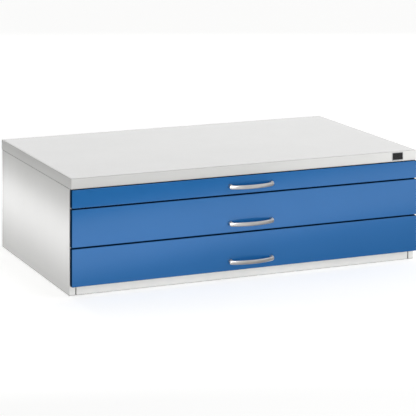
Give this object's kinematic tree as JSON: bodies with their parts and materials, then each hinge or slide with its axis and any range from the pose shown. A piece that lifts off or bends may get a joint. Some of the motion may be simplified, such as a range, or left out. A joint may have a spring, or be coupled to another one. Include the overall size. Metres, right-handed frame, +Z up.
{
  "type": "flat file cabinet",
  "caption": "Low, wide sheet-steel cabinet with full-width shallow drawers on telescopic slides, bow handles and a flat top, for storing large sheets flat.",
  "frame": {"origin": "floor level, in the middle of the cabinet's width and of its depth from the drawer fronts to the back, handles left out", "axes": "+X to the right of someone facing the drawers, +Y towards the back, +Z up"},
  "size_m": [1.35, 0.9996, 0.42],
  "materials": {
    "case_paint": "light grey semi-gloss powder coat",
    "front_paint": "mid blue semi-gloss powder coat",
    "tray_paint": "light grey powder coat",
    "handle_metal": "satin silver plating",
    "zinc_steel": "bright zinc plating",
    "buffer_rubber": "matt black rubber",
    "label_metal": "satin, blank"
  },
  "bodies": {
    "cabinet": {"top_plate": "case_paint", "top_stiffeners": "case_paint", "left_side_panel": "case_paint", "right_side_panel": "case_paint", "back_panel": "case_paint", "front_plinth_panel": "case_paint", "rear_base_rail": "case_paint", "bottom_panel": "case_paint", "centre_base_runner": "case_paint", "front_top_rail": "case_paint", "slide_uprights": "case_paint", "foot_nuts": "zinc_steel", "label_plate": "label_metal", "rail_screws": "zinc_steel", "back_panel_screws": "zinc_steel", "top_plate_screws": "zinc_steel", "drawer_buffers": "buffer_rubber", "bottom_left_outer_rail": "zinc_steel", "bottom_right_outer_rail": "zinc_steel", "middle_left_outer_rail": "zinc_steel", "middle_right_outer_rail": "zinc_steel", "top_left_outer_rail": "zinc_steel", "top_right_outer_rail": "zinc_steel"},
    "bottom_drawer": {"bottom_drawer_front": "front_paint", "bottom_drawer_tray": "tray_paint", "bottom_rear_hood": "tray_paint", "bottom_handle": "handle_metal", "bottom_handle_screws": "zinc_steel", "bottom_left_inner_rail": "zinc_steel", "bottom_right_inner_rail": "zinc_steel"},
    "bottom_middle_rails": {"bottom_left_middle_rail": "zinc_steel", "bottom_right_middle_rail": "zinc_steel"},
    "bottom_outer_cages": {"bottom_outer_ball_cages": "zinc_steel"},
    "bottom_inner_cages": {"bottom_inner_ball_cages": "zinc_steel"},
    "middle_drawer": {"middle_drawer_front": "front_paint", "middle_drawer_tray": "tray_paint", "middle_rear_hood": "tray_paint", "middle_handle": "handle_metal", "middle_handle_screws": "zinc_steel", "middle_left_inner_rail": "zinc_steel", "middle_right_inner_rail": "zinc_steel"},
    "middle_middle_rails": {"middle_left_middle_rail": "zinc_steel", "middle_right_middle_rail": "zinc_steel"},
    "middle_outer_cages": {"middle_outer_ball_cages": "zinc_steel"},
    "middle_inner_cages": {"middle_inner_ball_cages": "zinc_steel"},
    "top_drawer": {"top_drawer_front": "front_paint", "top_drawer_tray": "tray_paint", "top_rear_hood": "tray_paint", "top_handle": "handle_metal", "top_handle_screws": "zinc_steel", "top_left_inner_rail": "zinc_steel", "top_right_inner_rail": "zinc_steel"},
    "top_middle_rails": {"top_left_middle_rail": "zinc_steel", "top_right_middle_rail": "zinc_steel"},
    "top_outer_cages": {"top_outer_ball_cages": "zinc_steel"},
    "top_inner_cages": {"top_inner_ball_cages": "zinc_steel"},
    "front_left_foot": {"front_left_levelling_foot": "zinc_steel"},
    "front_right_foot": {"front_right_levelling_foot": "zinc_steel"},
    "rear_left_foot": {"rear_left_levelling_foot": "zinc_steel"},
    "rear_right_foot": {"rear_right_levelling_foot": "zinc_steel"}
  },
  "joints": [
    {"name": "bottom_drawer_slide", "type": "slide", "parent": "cabinet", "child": "bottom_drawer", "axis": [0, -1, 0], "range_m": [0, 0.85]},
    {"name": "bottom_middle_rails_slide", "type": "slide", "parent": "cabinet", "child": "bottom_middle_rails", "axis": [0, -1, 0], "range_m": [0, 0.425]},
    {"name": "bottom_outer_cages_slide", "type": "slide", "parent": "cabinet", "child": "bottom_outer_cages", "axis": [0, -1, 0], "range_m": [0, 0.2125]},
    {"name": "bottom_inner_cages_slide", "type": "slide", "parent": "cabinet", "child": "bottom_inner_cages", "axis": [0, -1, 0], "range_m": [0, 0.6375]},
    {"name": "middle_drawer_slide", "type": "slide", "parent": "cabinet", "child": "middle_drawer", "axis": [0, -1, 0], "range_m": [0, 0.85]},
    {"name": "middle_middle_rails_slide", "type": "slide", "parent": "cabinet", "child": "middle_middle_rails", "axis": [0, -1, 0], "range_m": [0, 0.425]},
    {"name": "middle_outer_cages_slide", "type": "slide", "parent": "cabinet", "child": "middle_outer_cages", "axis": [0, -1, 0], "range_m": [0, 0.2125]},
    {"name": "middle_inner_cages_slide", "type": "slide", "parent": "cabinet", "child": "middle_inner_cages", "axis": [0, -1, 0], "range_m": [0, 0.6375]},
    {"name": "top_drawer_slide", "type": "slide", "parent": "cabinet", "child": "top_drawer", "axis": [0, -1, 0], "range_m": [0, 0.85]},
    {"name": "top_middle_rails_slide", "type": "slide", "parent": "cabinet", "child": "top_middle_rails", "axis": [0, -1, 0], "range_m": [0, 0.425]},
    {"name": "top_outer_cages_slide", "type": "slide", "parent": "cabinet", "child": "top_outer_cages", "axis": [0, -1, 0], "range_m": [0, 0.2125]},
    {"name": "top_inner_cages_slide", "type": "slide", "parent": "cabinet", "child": "top_inner_cages", "axis": [0, -1, 0], "range_m": [0, 0.6375]},
    {"name": "front_left_foot_screw", "type": "slide", "parent": "cabinet", "child": "front_left_foot", "axis": [0, 0, -1], "range_m": [0, 0.015]},
    {"name": "front_right_foot_screw", "type": "slide", "parent": "cabinet", "child": "front_right_foot", "axis": [0, 0, -1], "range_m": [0, 0.015]},
    {"name": "rear_left_foot_screw", "type": "slide", "parent": "cabinet", "child": "rear_left_foot", "axis": [0, 0, -1], "range_m": [0, 0.015]},
    {"name": "rear_right_foot_screw", "type": "slide", "parent": "cabinet", "child": "rear_right_foot", "axis": [0, 0, -1], "range_m": [0, 0.015]}
  ],
  "couplings": [
    {"joint": "bottom_middle_rails_slide", "follows": "bottom_drawer_slide", "ratio": 0.5},
    {"joint": "bottom_outer_cages_slide", "follows": "bottom_drawer_slide", "ratio": 0.25},
    {"joint": "bottom_inner_cages_slide", "follows": "bottom_drawer_slide", "ratio": 0.75},
    {"joint": "middle_middle_rails_slide", "follows": "middle_drawer_slide", "ratio": 0.5},
    {"joint": "middle_outer_cages_slide", "follows": "middle_drawer_slide", "ratio": 0.25},
    {"joint": "middle_inner_cages_slide", "follows": "middle_drawer_slide", "ratio": 0.75},
    {"joint": "top_middle_rails_slide", "follows": "top_drawer_slide", "ratio": 0.5},
    {"joint": "top_outer_cages_slide", "follows": "top_drawer_slide", "ratio": 0.25},
    {"joint": "top_inner_cages_slide", "follows": "top_drawer_slide", "ratio": 0.75}
  ]
}
